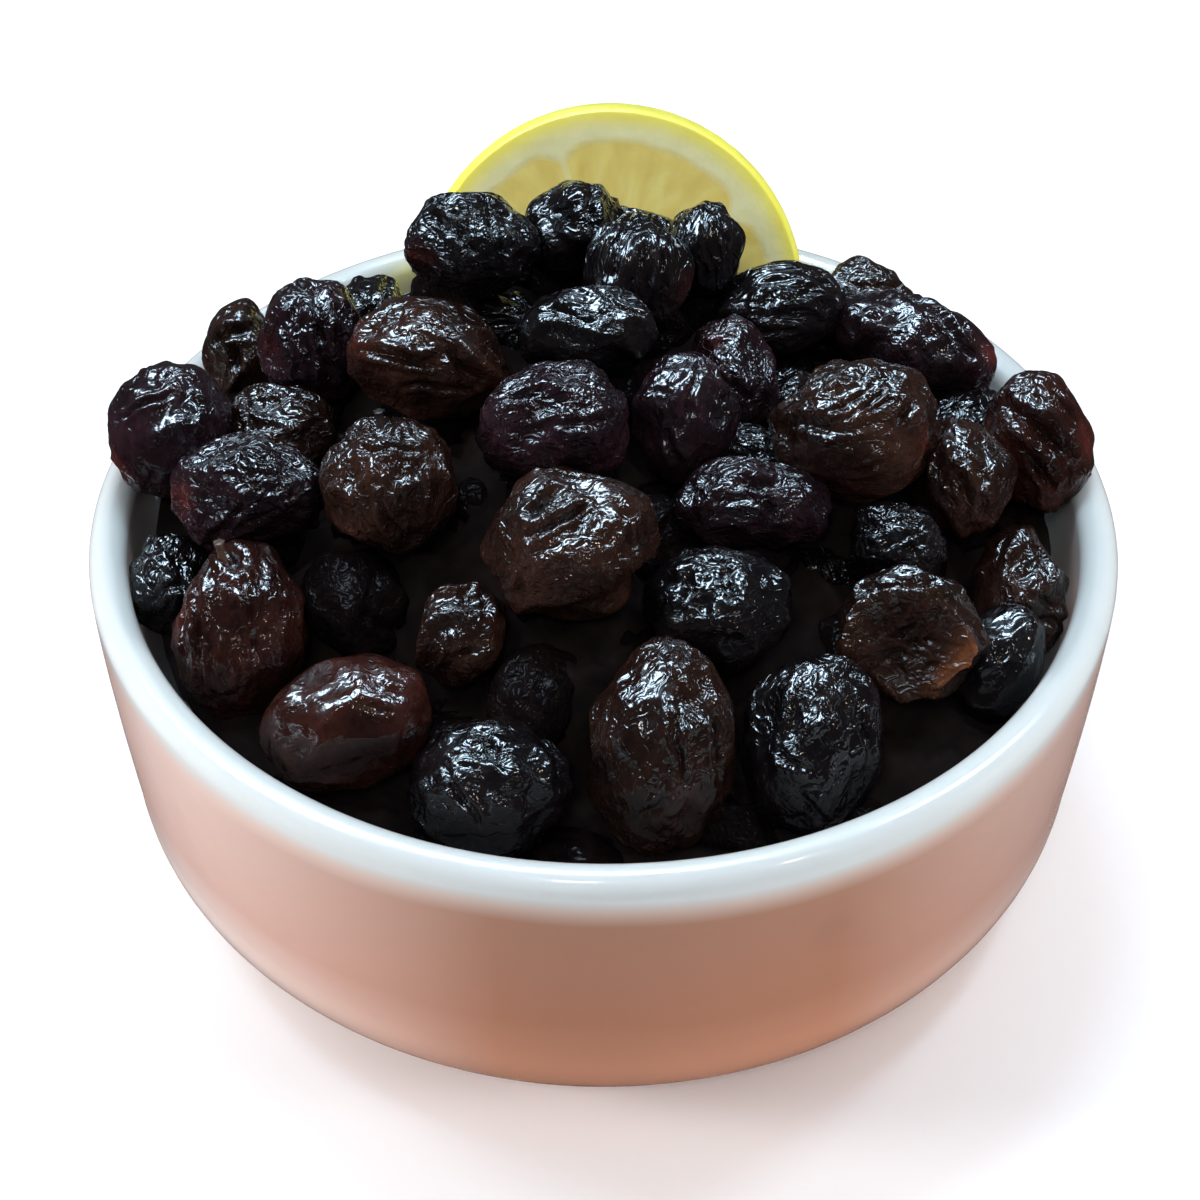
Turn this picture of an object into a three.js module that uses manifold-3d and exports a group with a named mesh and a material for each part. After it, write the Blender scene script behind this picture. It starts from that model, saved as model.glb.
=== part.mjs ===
// A dish of olives: a round ceramic bowl heaped with wrinkled black olives, and a slice of lemon
// that stands behind the heap and leans back against the bowl's rim.
//
// Millimetres, +Z up, the lemon at the back (+Y). The origin is the middle of the bowl's flat foot.

import * as THREE from "three";
import { mergeVertices } from "three/addons/utils/BufferGeometryUtils.js";
import Module from "manifold-3d";

const wasm = await Module();
wasm.setup();

// ---------------------------------------------------------------------------------------------
// Driving dimensions

const CLEARANCE = 0.3; // gap left between pieces that touch

const BOWL = {
  radius: 65, // outside, at the rim
  height: 49,
  lip: 2.4, // radius of the rounded rim, so the wall is twice as thick
  taper: 2.3, // how much narrower the wall is where the lower corner starts
  taperCurve: 1.4, // above 1, the wall bellies out before it narrows
  corner: 14, // radius of the outer corner below the wall
  innerCorner: 11,
  footRadius: 42,
  footFlare: 1, // how much wider the foot is at its top
  footHeight: 2.2,
  floor: 4.8, // thickness of the floor
  sides: 48,
};

// Steps along each stretch of the bowl's profile.
const STEPS = { corner: 5, wall: 4, rim: 8, innerWall: 3, innerCorner: 4 };

const FAR = 100; // well outside everything

const LEMON = {
  radius: 27.4,
  thickness: 6,
  leanDegrees: 24, // from upright, towards the back
  frontCentre: [0.8, 46.8, 47],
  rindRound: 1.6, // rounding of the cut edge of the rind
  pithWidth: 5.6, // rind and pith together, from the edge to the pulp
  pulpDepth: 0.7, // how far the pulp has sunk below the pith
  membranes: [35, 109, 158, 204, 252, 301, 346], // degrees round from +X
  membraneWidth: 1.4,
  ramp: 0.8, // width of the step from a membrane or the pith down to the pulp
  middle: 2.5, // radius of the white middle
  halfway: 10,
  columns: 48,
};

const OLIVE = {
  flatness: 0.94, // thickness over width
  dents: 7,
  dentDepth: 0.13, // of the radius
  dentRaise: 0.25, // this share of the dents' depths is turned into low bumps
  dentSpread: 0.5, // radians
  largeLength: 22, // an olive at least this long has finer facets
  detail: 1,
  largeDetail: 2,
};

const CORE = {
  sink: 8.5, // how far below the middles of the olives the core lies
  reach: 8, // distance over which an olive's height counts
  lift: 5, // an olive this much higher than its neighbour counts for e times as much
  rings: 7,
  sectors: 24,
};

const HOLLOW = {
  // the hollow that a torn olive shows, in its own half sizes
  size: [0.74, 0.6, 0.66],
  offset: [0.08, -0.62, 0.34],
};

const STEM = { radius: 0.7, length: 3.6, sunk: 1.6, sides: 6 };

// The olives, a row for each: x, y, z of its middle, length, width, the turn of its long axis
// round Z from +X and the rise of that axis, in degrees. Those of the last group hold up the
// higher ones.
const OLIVES = {
  front: [
    [-54, -11, 44, 13, 11, 90, 40],
    [-44, -22, 47, 21, 16, 80, 50],
    [-30, -35, 44, 21, 16, 10, 10],
    [-13, -43, 41, 19, 17, 0, 0],
    [7, -39, 44, 25, 17, 80, 50],
    [25, -37, 43, 22, 17, 70, 50],
    [37, -25, 50, 17, 17, 0, 0],
    [48, -23, 43, 15, 12, 55, 45],
    [52, -11, 43, 17, 12, 90, 50],
  ],
  middle: [
    [-44, -6, 55, 19, 15, 0, -5],
    [-26, -9, 59, 17, 16, 110, 50],
    [-17, -25, 49, 13, 11, 60, 50],
    [-4, -20, 59, 20, 18, 15, 15],
    [14, -23, 52, 18, 15, 0, 0],
    [18, -10, 57, 20, 11, 0, 0],
    [36, -11, 52, 12, 11, 0, 0],
    [45, 0, 53, 15, 14, 90, 30],
    [31, 0, 61, 21, 18, 10, 10],
    [18, 2, 53, 13, 11, 0, 0],
  ],
  crown: [
    [-6, -4, 65, 19, 15, 5, 5],
    [10, 2, 61, 16, 13, 90, 50],
    [16, 13, 58, 16, 12, 90, 50],
    [-22, 10, 64, 21, 15, -10, -10],
    [-2, 11, 68, 18, 12, 0, 0],
    [-17, 24, 72, 17, 14, -5, -5],
    [-14, 22, 60, 13, 11, 0, 0],
    [-4, 32, 69, 13, 13, 0, 0],
    [4, 22, 69, 15, 14, 80, 40],
    [13, 29, 68, 12, 10, 90, 50],
  ],
  left: [
    [-55, 6, 55, 17, 16, 90, 50],
    [-41, 8, 54, 15, 12, 0, 0],
    [-38, 19, 60, 16, 14, 90, 50],
    [-49, 28, 51, 14, 10, 90, 50],
    [-32, 37, 51, 12, 11, 90, 0],
  ],
  right: [
    [56, 8, 53, 19, 13, 110, 50],
    [41, 23, 57, 23, 13, -15, -15],
    [36, 38, 54, 12, 11, 0, 0],
    [23, 25, 61, 18, 13, 5, 5],
  ],
  back: [
    [-30, 26, 51, 15, 13, 20, 0],
    [-24, 35, 49, 16, 13, 30, 0],
    [-17, 35, 61, 16, 13, -30, 0],
    [-10, 43, 54, 17, 14, 0, 0],
    [4, 43, 58, 16, 13, 10, 0],
    [12, 37, 60, 14, 12, -60, 20],
    [19, 41, 48, 15, 13, -20, 0],
    [28, 42, 42, 16, 12, 60, 0],
    [30, 33, 52, 15, 12, 40, 0],
    [46, 29, 41, 14, 12, -60, 0],
    [0, 54, 37, 16, 10, 0, 0],
    [-15, 52, 38, 13, 9, 15, 0],
    [16, 52, 38, 13, 9, -15, 0],
  ],
  deep: [
    [-33, -12, 36, 18, 14, 20, 0],
    [-19, -11, 41, 15, 12, 60, 0],
    [-4, -25, 34, 15, 13, 0, 0],
    [-3, -46, 30, 15, 12, 10, 0],
    [36, -30, 31, 16, 13, 40, 0],
    [28, -8, 43, 14, 12, 0, 0],
    [24, 14, 52, 14, 12, 30, 0],
    [47, 15, 49, 15, 12, 70, 0],
    [-42, 35, 44, 15, 12, 40, 0],
  ],
  under: [
    [-27, -3, 48, 15, 13, 40, 0],
    [-44, -5, 44, 15, 13, 20, 0],
    [-6, -4, 54, 16, 14, 60, 0],
    [-22, 11, 53, 15, 13, 30, 0],
    [-19, 25, 61, 14, 13, -40, 0],
    [0, 12, 57, 15, 13, 80, 0],
    [5, 24, 58, 15, 13, 20, 0],
    [-4, 32, 58, 15, 13, -30, 0],
    [13, 29, 57, 14, 12, 60, 0],
    [18, -9, 48, 15, 12, 30, 0],
    [30, 3, 49, 15, 13, -20, 0],
    [51, 8, 42, 14, 12, 90, 0],
    [-50, 6, 43, 14, 12, 70, 0],
    [-37, 19, 48, 15, 13, -30, 0],
    [-5, -18, 47, 15, 13, 0, 0],
    [13, -21, 42, 14, 12, 50, 0],
    [44, 1, 42, 14, 12, 20, 0],
    [37, -10, 43, 14, 12, 40, 0],
  ],
};

const TORN = { group: "front", row: 6 };
const STEMMED = [
  { group: "front", row: 1 },
  { group: "middle", row: 1 },
];

const GLAZE = new THREE.MeshStandardMaterial({ color: 0xe9b9a4, roughness: 0.12, metalness: 0 });
const OLIVE_SKIN = new THREE.MeshStandardMaterial({ color: 0x1e1110, roughness: 0.18, metalness: 0 });
const LEMON_FLESH = new THREE.MeshStandardMaterial({ color: 0xd8c24a, roughness: 0.4, metalness: 0 });

// ---------------------------------------------------------------------------------------------
// Helpers

const radians = THREE.MathUtils.degToRad;

// A repeatable source of numbers from 0 to 1.
function seededRandom(seed) {
  let state = (seed * 2654435761) % 4294967296;
  return () => {
    state = (state * 1664525 + 1013904223) % 4294967296;
    return state / 4294967296;
  };
}

// A closed geometry as a manifold solid: shared vertices are merged and empty triangles dropped.
function toSolid(geometry) {
  geometry.deleteAttribute("normal");
  geometry.deleteAttribute("uv");
  const merged = mergeVertices(geometry);
  const corners = merged.index.array;
  const kept = [];
  for (let i = 0; i < corners.length; i += 3) {
    const [a, b, c] = corners.slice(i, i + 3);
    if (a !== b && b !== c && c !== a) kept.push(a, b, c);
  }
  const vertProperties = merged.attributes.position.array;
  return new wasm.Manifold(new wasm.Mesh({ numProp: 3, vertProperties, triVerts: Uint32Array.from(kept) }));
}

function toMesh(name, solid, material) {
  const { vertProperties, triVerts } = solid.getMesh();
  const geometry = new THREE.BufferGeometry();
  geometry.setAttribute("position", new THREE.BufferAttribute(Float32Array.from(vertProperties), 3));
  geometry.setIndex(new THREE.BufferAttribute(Uint32Array.from(triVerts), 1));
  geometry.computeVertexNormals();
  const mesh = new THREE.Mesh(geometry, material);
  mesh.name = name;
  return mesh;
}

// A profile of [radius, height] points turned round Z, going up the outside and down the inside.
function turned(profile, sides) {
  const points = profile.map(([radius, height]) => new THREE.Vector2(radius, height));
  return new THREE.LatheGeometry(points, sides).rotateX(Math.PI / 2);
}

// Points on an arc in the profile's plane, with angles in degrees from the outward direction.
function arc(centre, radius, from, to, steps) {
  const points = [];
  for (let i = 0; i <= steps; i += 1) {
    const angle = radians(from + ((to - from) * i) / steps);
    points.push([centre[0] + radius * Math.cos(angle), centre[1] + radius * Math.sin(angle)]);
  }
  return points;
}

// ---------------------------------------------------------------------------------------------
// The bowl

const LIP_CENTRE = [BOWL.radius - BOWL.lip, BOWL.height - BOWL.lip];
const WALL_TOP = BOWL.height - BOWL.lip;
const WALL_FOOT = BOWL.footHeight + BOWL.corner;
const FLOOR_TOP = BOWL.footHeight + BOWL.floor;

function wallRadius(height) {
  const down = (WALL_TOP - height) / (WALL_TOP - WALL_FOOT);
  return BOWL.radius - BOWL.taper * Math.max(down, 0) ** BOWL.taperCurve;
}

function outerProfile() {
  const cornerCentre = [wallRadius(WALL_FOOT) - BOWL.corner, WALL_FOOT];
  const wall = [];
  for (let i = 1; i < STEPS.wall; i += 1) {
    const height = WALL_FOOT + ((WALL_TOP - WALL_FOOT) * i) / STEPS.wall;
    wall.push([wallRadius(height), height]);
  }
  return [
    [0, 0],
    [BOWL.footRadius, 0],
    [BOWL.footRadius + BOWL.footFlare, BOWL.footHeight],
    ...arc(cornerCentre, BOWL.corner, -90, 0, STEPS.corner),
    ...wall,
  ];
}

// From the rim down to the middle of the floor, moved in from the bowl's own surface by a gap.
function innerProfile(gap) {
  const radius = BOWL.innerCorner - gap;
  const foot = FLOOR_TOP + BOWL.innerCorner;
  const wallIn = (height) => wallRadius(height) - 2 * BOWL.lip - gap;
  const wall = [];
  for (let i = 1; i < STEPS.innerWall; i += 1) {
    const height = WALL_TOP + ((foot - WALL_TOP) * i) / STEPS.innerWall;
    wall.push([wallIn(height), height]);
  }
  const centre = [wallIn(foot) - radius, foot];
  return [...wall, ...arc(centre, radius, 0, -90, STEPS.innerCorner), [0, FLOOR_TOP + gap]];
}

function bowl() {
  const rim = arc(LIP_CENTRE, BOWL.lip, 0, 180, STEPS.rim);
  return toSolid(turned([...outerProfile(), ...rim, ...innerProfile(0)], BOWL.sides));
}

// All the space that the bowl takes, with the gap round it: what lies in the bowl is cut by this.
function bowlSpace() {
  const rim = arc(LIP_CENTRE, BOWL.lip + CLEARANCE, 0, 180, STEPS.rim);
  const outside = [
    [0, -FAR],
    [FAR, -FAR],
    [FAR, WALL_TOP],
  ];
  return toSolid(turned([...outside, ...rim, ...innerProfile(CLEARANCE)], BOWL.sides / 2));
}

// ---------------------------------------------------------------------------------------------
// The slice of lemon

// 1 in the pulp and 0 on the membranes, the pith and the middle, with short ramps between.
function pulp(radius, angle) {
  const nearest = Math.min(
    ...LEMON.membranes.map((membrane) => {
      const apart = Math.abs(((angle - membrane + 540) % 360) - 180);
      return radius * Math.sin(radians(Math.min(apart, 90)));
    }),
  );
  const fromMembrane = (nearest - LEMON.membraneWidth / 2) / LEMON.ramp;
  const fromPith = (LEMON.radius - LEMON.pithWidth - radius) / LEMON.ramp;
  return THREE.MathUtils.clamp(Math.min(fromMembrane, fromPith), 0, 1);
}

// A disc whose two faces follow the pulp, standing on its edge and leaning back.
function lemon(gap) {
  const rim = LEMON.radius + gap;
  const half = LEMON.thickness / 2 + gap;
  const pulpEdge = LEMON.radius - LEMON.pithWidth;
  const face = [0, LEMON.middle, LEMON.halfway, pulpEdge - LEMON.ramp, pulpEdge, rim - LEMON.rindRound];
  const rings = [
    ...face.map((radius) => ({ radius, side: 1 })),
    { radius: rim, side: 0.5 },
    { radius: rim, side: -0.5 },
    ...face.toReversed().map((radius) => ({ radius, side: -1 })),
  ];
  const { columns } = LEMON;
  const positions = [];
  const index = [];
  rings.forEach(({ radius, side }, ring) => {
    for (let i = 0; i <= columns; i += 1) {
      const angle = (360 * (i % columns)) / columns;
      const depth = gap ? 0 : LEMON.pulpDepth * pulp(radius, angle);
      const x = radius * Math.cos(radians(angle));
      const z = radius * Math.sin(radians(angle));
      positions.push(x, -side * (half - depth), z);
      if (ring && i < columns) {
        const a = (ring - 1) * (columns + 1) + i;
        const b = a + columns + 1;
        index.push(a, b, a + 1, a + 1, b, b + 1);
      }
    }
  });
  const geometry = new THREE.BufferGeometry();
  geometry.setAttribute("position", new THREE.BufferAttribute(new Float32Array(positions), 3));
  geometry.setIndex(index);
  geometry.translate(0, LEMON.thickness / 2, 0);
  geometry.rotateX(-radians(LEMON.leanDegrees));
  geometry.translate(...LEMON.frontCentre);
  return toSolid(geometry);
}

// ---------------------------------------------------------------------------------------------
// The heap of olives

// Shallow dents in a seeded scatter over the unit sphere, as a factor on its radius.
function dentedRadius(seed) {
  const random = seededRandom(seed + 1);
  const dents = Array.from({ length: OLIVE.dents }, () => {
    const height = 2 * random() - 1;
    const turn = 2 * Math.PI * random();
    const across = Math.sqrt(1 - height * height);
    const depth = OLIVE.dentDepth * (random() - OLIVE.dentRaise);
    return { way: new THREE.Vector3(across * Math.cos(turn), across * Math.sin(turn), height), depth };
  });
  return (direction) =>
    dents.reduce((radius, { way, depth }) => {
      const apart = way.angleTo(direction) / OLIVE.dentSpread;
      return radius - depth * Math.exp(-apart * apart);
    }, 1);
}

// Turns a shape that lies along X to an olive's own turn and rise, and moves it to its middle.
function turnTo(geometry, [x, y, z, , , turn, rise]) {
  geometry.rotateY(-radians(rise));
  geometry.rotateZ(radians(turn));
  return geometry.translate(x, y, z);
}

// Carries a shape in an olive's half sizes to the olive's place in the bowl.
function place(geometry, row) {
  const [, , , length, width] = row;
  geometry.scale(length / 2, width / 2, (width / 2) * OLIVE.flatness);
  return turnTo(geometry, row);
}

function olive(row, seed) {
  const [, , , length] = row;
  const detail = length < OLIVE.largeLength ? OLIVE.detail : OLIVE.largeDetail;
  const geometry = new THREE.IcosahedronGeometry(1, detail);
  const radius = dentedRadius(seed);
  const position = geometry.attributes.position;
  const point = new THREE.Vector3();
  for (let i = 0; i < position.count; i += 1) {
    point.fromBufferAttribute(position, i).normalize();
    point.multiplyScalar(radius(point));
    position.setXYZ(i, point.x, point.y, point.z);
  }
  return toSolid(place(geometry, row));
}

function hollow(row) {
  const geometry = new THREE.IcosahedronGeometry(1, OLIVE.largeDetail);
  geometry.scale(...HOLLOW.size);
  geometry.translate(...HOLLOW.offset);
  return toSolid(place(geometry, row));
}

// The short stalk at the end of an olive's long axis.
function stem(row) {
  const [, , , length] = row;
  const geometry = new THREE.CylinderGeometry(STEM.radius, STEM.radius, STEM.length, STEM.sides);
  geometry.rotateZ(Math.PI / 2);
  geometry.translate(length / 2 + STEM.length / 2 - STEM.sunk, 0, 0);
  return toSolid(turnTo(geometry, row));
}

// Height of the core at a point: the mean height of the olives round it, less the sink. The mean
// leans to the higher ones, so that the core bears each olive that lies on others.
function coreHeight(x, y) {
  let total = 0;
  let weights = 0;
  for (const [ox, oy, oz] of Object.values(OLIVES).flat()) {
    const apart = Math.hypot(x - ox, y - oy) / CORE.reach;
    const weight = Math.exp((oz - BOWL.height) / CORE.lift - apart * apart);
    total += weight * oz;
    weights += weight;
  }
  return total / weights - CORE.sink;
}

// The packed inside of the heap: a round block whose top follows the olives that lie on it.
function core() {
  const outer = BOWL.radius - BOWL.lip;
  const rings = [{ radius: 0, top: false }, { radius: outer, top: false }];
  for (let i = CORE.rings; i >= 0; i -= 1) rings.push({ radius: (outer * i) / CORE.rings, top: true });
  const positions = [];
  const index = [];
  rings.forEach(({ radius, top }, ring) => {
    for (let i = 0; i <= CORE.sectors; i += 1) {
      const angle = (2 * Math.PI * (i % CORE.sectors)) / CORE.sectors;
      const x = radius * Math.cos(angle);
      const y = radius * Math.sin(angle);
      positions.push(x, y, top ? coreHeight(x, y) : 0);
      if (ring && i < CORE.sectors) {
        const a = (ring - 1) * (CORE.sectors + 1) + i;
        const b = a + CORE.sectors + 1;
        index.push(a, a + 1, b, a + 1, b + 1, b);
      }
    }
  });
  const geometry = new THREE.BufferGeometry();
  geometry.setAttribute("position", new THREE.BufferAttribute(new Float32Array(positions), 3));
  geometry.setIndex(index);
  return toSolid(geometry);
}

function heap() {
  const rows = Object.entries(OLIVES).flatMap(([group, list]) => list.map((row, i) => ({ group, i, row })));
  const isAt = (entry, spot) => entry.group === spot.group && entry.i === spot.row;
  const torn = OLIVES[TORN.group][TORN.row];
  const pieces = rows.map((entry, seed) => {
    const solid = olive(entry.row, seed);
    return isAt(entry, TORN) ? solid.subtract(hollow(torn)) : solid;
  });
  const stems = STEMMED.map((spot) => stem(OLIVES[spot.group][spot.row]));
  const joined = [...pieces, ...stems].reduce((sum, piece) => sum.add(piece), core());
  return joined.subtract(bowlSpace()).subtract(lemon(CLEARANCE));
}

// A fused heap is one body, so any scrap that the cuts left loose is dropped.
function largestBody(solid) {
  return solid.decompose().reduce((best, body) => (body.volume() > best.volume() ? body : best));
}

// ---------------------------------------------------------------------------------------------

const dish = new THREE.Group();
dish.add(toMesh("bowl", bowl(), GLAZE));
dish.add(toMesh("olives", largestBody(heap()), OLIVE_SKIN));
dish.add(toMesh("lemon_slice", lemon(0), LEMON_FLESH));

export default dish;
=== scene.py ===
import math

import bpy
import numpy as np
from mathutils import Matrix, Vector


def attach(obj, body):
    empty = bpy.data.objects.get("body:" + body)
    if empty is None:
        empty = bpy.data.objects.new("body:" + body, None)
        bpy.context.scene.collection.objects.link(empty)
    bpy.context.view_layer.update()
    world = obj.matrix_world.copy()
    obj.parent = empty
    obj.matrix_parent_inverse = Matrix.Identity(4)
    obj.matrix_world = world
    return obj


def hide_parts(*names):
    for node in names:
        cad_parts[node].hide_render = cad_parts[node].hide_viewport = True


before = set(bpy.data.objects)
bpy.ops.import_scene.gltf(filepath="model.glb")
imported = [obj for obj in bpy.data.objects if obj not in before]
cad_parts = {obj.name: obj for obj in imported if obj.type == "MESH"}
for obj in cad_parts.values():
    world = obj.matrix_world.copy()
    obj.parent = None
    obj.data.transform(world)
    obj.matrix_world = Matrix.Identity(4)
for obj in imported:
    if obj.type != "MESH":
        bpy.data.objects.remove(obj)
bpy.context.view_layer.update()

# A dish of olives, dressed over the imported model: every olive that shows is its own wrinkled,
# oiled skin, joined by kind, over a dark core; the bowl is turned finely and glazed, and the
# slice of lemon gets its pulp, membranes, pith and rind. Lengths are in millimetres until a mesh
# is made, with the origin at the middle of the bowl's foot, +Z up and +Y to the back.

MM = 0.001

# ------------------------------------------------------------
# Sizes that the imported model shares

BOWL = dict(radius=65.0, height=49.0, lip=2.4, taper=2.3, taper_curve=1.4, corner=14.0,
            inner_corner=11.0, foot_radius=42.0, foot_height=2.2, floor=4.8)
LEMON = dict(radius=27.4, thickness=6.0, lean=24.0, front=(0.8, 46.8, 47.0), pith=4.4,
             membranes=(35.0, 109.0, 158.0, 204.0, 252.0, 301.0, 346.0))

# An olive's height as a share of its width, and its dents: how many, how deep as a share of its
# radius, and how wide in radians.
FLATNESS = 0.94
DENTS = dict(count=7, depth=0.13, spread=0.5)

# ------------------------------------------------------------
# The scene's own sizes

# The core lies sink below the mean height of the olives round it. reach and lift say which of them
# count, gap is its distance from the bowl's wall, and behind the slice it drops to under_slice.
CORE = dict(sink=9.0, reach=8.0, lift=5.0, gap=3.0, under_slice=19.0)

# The olives dropped into the gaps: how often one is tried, how far from the middle and to the back,
# their radii, how far they sink, and how near to another one may lie, as a share of both radii.
BURIED = dict(tries=6000, reach=52.0, back=40.0, radius=(6.0, 7.5), sink=(11.0, 14.0),
              closeness=0.80)

# How long the edges of an olive's triangles are, and how far it keeps from the bowl and the slice.
MESH_EDGE = dict(shown=0.42, back=0.75, deep=0.8, under=0.9, buried=0.9)
TOUCH = 0.05

# The torn olive's opening: its middle across and up as seen from the front, how far it reaches in
# radians, how far in mm its floor lies below its edge, and its colours.
TEAR = dict(middle=(-0.20, -0.22), reach=0.90, lip=1.2, flesh=(0.0150, 0.0066, 0.0050),
            edge=(0.260, 0.092, 0.036))

# The stalks: the olive each stands on, where on it, across and up as seen from the front, its share
# of the whole length, and how pale its wood is. Then their size, how deep the foot is sunk and how
# far the top leans.
STALKS = {("front", 1): (-0.20, 0.80, 1.0, 1.0), ("middle", 1): (-0.15, 0.93, 0.40, 0.15)}
STALK = dict(radius=0.55, length=2.3, sunk=1.4, lean=0.6)

# ------------------------------------------------------------
# The olives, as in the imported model

# Those that hold up the top layer and fill the gaps under it: x, y, z of the middle, length, width
# and turn.
UNDER = [
    (-27, -3, 48, 15, 13, 40), (-44, -5, 44, 15, 13, 20), (-6, -4, 54, 16, 14, 60),
    (-22, 11, 53, 15, 13, 30), (-19, 25, 61, 14, 13, -40), (0, 12, 57, 15, 13, 80),
    (5, 24, 58, 15, 13, 20), (-4, 32, 58, 15, 13, -30), (13, 29, 57, 14, 12, 60),
    (18, -9, 48, 15, 12, 30), (30, 3, 49, 15, 13, -20), (51, 8, 42, 14, 12, 90),
    (-50, 6, 43, 14, 12, 70), (-37, 19, 48, 15, 13, -30), (-5, -18, 47, 15, 13, 0),
    (13, -21, 42, 14, 12, 50), (44, 1, 42, 14, 12, 20), (37, -10, 43, 14, 12, 40),
]

# An olive a row: x, y, z of its middle, length, width, turn, rise, its kind and its skin. The back
# ones aren't seen in the photo, and the deep ones only dimly. Their order sets their dents.
OLIVES = {
    "front": [
        (-54, -11, 44, 13, 11, 90, 40, "black", "crinkled"),
        (-44, -22, 47, 21, 16, 80, 50, "red", "pitted"),
        (-30, -35, 44, 21, 16, 10, 10, "red", "smooth"),
        (-13, -43, 41, 19, 17, 0, 0, "black", "pitted"),
        (7, -39, 44, 25, 17, 80, 50, "brown", "pitted"),
        (25, -37, 43, 22, 17, 70, 50, "black", "folded"),
        (37, -25, 50, 17, 17, 0, 0, "torn", "folded"),
        (48, -23, 43, 15, 12, 55, 45, "black", "smooth"),
        (52, -11, 43, 17, 12, 90, 50, "brown", "folded"),
    ],
    "middle": [
        (-44, -6, 55, 19, 15, 0, -5, "purple", "crinkled"),
        (-26, -9, 59, 17, 16, 110, 50, "brown", "crinkled"),
        (-17, -25, 49, 13, 11, 60, 50, "brown", "crinkled"),
        (-4, -20, 59, 20, 18, 15, 15, "brown", "folded"),
        (14, -23, 52, 18, 15, 0, 0, "black", "pitted"),
        (18, -10, 57, 20, 11, 0, 0, "purple", "crinkled"),
        (36, -11, 52, 12, 11, 0, 0, "black", "crinkled"),
        (45, 0, 53, 15, 14, 90, 30, "brown", "pitted"),
        (31, 0, 61, 21, 18, 10, 10, "brown", "folded"),
        (18, 2, 53, 13, 11, 0, 0, "black", "crinkled"),
    ],
    "crown": [
        (-6, -4, 65, 19, 15, 5, 5, "purple", "crinkled"),
        (10, 2, 61, 16, 13, 90, 50, "purple", "pitted"),
        (16, 13, 58, 16, 12, 90, 50, "purple", "crinkled"),
        (-22, 10, 64, 21, 15, -10, -10, "brown", "folded"),
        (-2, 11, 68, 18, 12, 0, 0, "black", "pitted"),
        (-17, 24, 72, 17, 14, -5, -5, "black", "crinkled"),
        (-14, 22, 60, 13, 11, 0, 0, "black", "lengthwise"),
        (-4, 32, 69, 13, 13, 0, 0, "black", "folded"),
        (4, 22, 69, 15, 14, 80, 40, "black", "lengthwise"),
        (13, 29, 68, 12, 10, 90, 50, "black", "lengthwise"),
    ],
    "left": [
        (-55, 6, 55, 17, 16, 90, 50, "purple", "pitted"),
        (-41, 8, 54, 15, 12, 0, 0, "brown", "crinkled"),
        (-38, 19, 60, 16, 14, 90, 50, "purple", "crinkled"),
        (-49, 28, 51, 14, 10, 90, 50, "brown", "folded"),
        (-32, 37, 51, 12, 11, 90, 0, "black", "crinkled"),
    ],
    "right": [
        (56, 8, 53, 19, 13, 110, 50, "red", "folded"),
        (41, 23, 57, 23, 13, -15, -15, "purple", "pitted"),
        (36, 38, 54, 12, 11, 0, 0, "brown", "crinkled"),
        (23, 25, 61, 18, 13, 5, 5, "black", "lengthwise"),
    ],
    "back": [
        (-30, 26, 51, 15, 13, 20, 0, "brown", "crinkled"),
        (-24, 35, 49, 16, 13, 30, 0, "black", "folded"),
        (-17, 35, 61, 16, 13, -30, 0, "purple", "crinkled"),
        (-10, 43, 54, 17, 14, 0, 0, "brown", "folded"),
        (4, 43, 58, 16, 13, 10, 0, "black", "crinkled"),
        (12, 37, 60, 14, 12, -60, 20, "brown", "crinkled"),
        (19, 41, 48, 15, 13, -20, 0, "purple", "folded"),
        (28, 42, 42, 16, 12, 60, 0, "black", "crinkled"),
        (30, 33, 52, 15, 12, 40, 0, "black", "folded"),
        (46, 29, 41, 14, 12, -60, 0, "brown", "crinkled"),
        (0, 54, 37, 16, 10, 0, 0, "black", "crinkled"),
        (-15, 52, 38, 13, 9, 15, 0, "brown", "crinkled"),
        (16, 52, 38, 13, 9, -15, 0, "black", "crinkled"),
    ],
    "deep": [
        (-33, -12, 36, 18, 14, 20, 0, "deep", "folded"),
        (-19, -11, 41, 15, 12, 60, 0, "deep", "crinkled"),
        (-4, -25, 34, 15, 13, 0, 0, "deep", "smooth"),
        (-3, -46, 30, 15, 12, 10, 0, "deep", "smooth"),
        (36, -30, 31, 16, 13, 40, 0, "deep", "folded"),
        (28, -8, 43, 14, 12, 0, 0, "black", "crinkled"),
        (24, 14, 52, 14, 12, 30, 0, "black", "crinkled"),
        (47, 15, 49, 15, 12, 70, 0, "black", "crinkled"),
        (-42, 35, 44, 15, 12, 40, 0, "black", "crinkled"),
    ],
    "under": [(*row, 0, "deep", ("crinkled", "folded")[index % 2]) for index, row in enumerate(UNDER)],
}

# ------------------------------------------------------------
# Their skins

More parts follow.
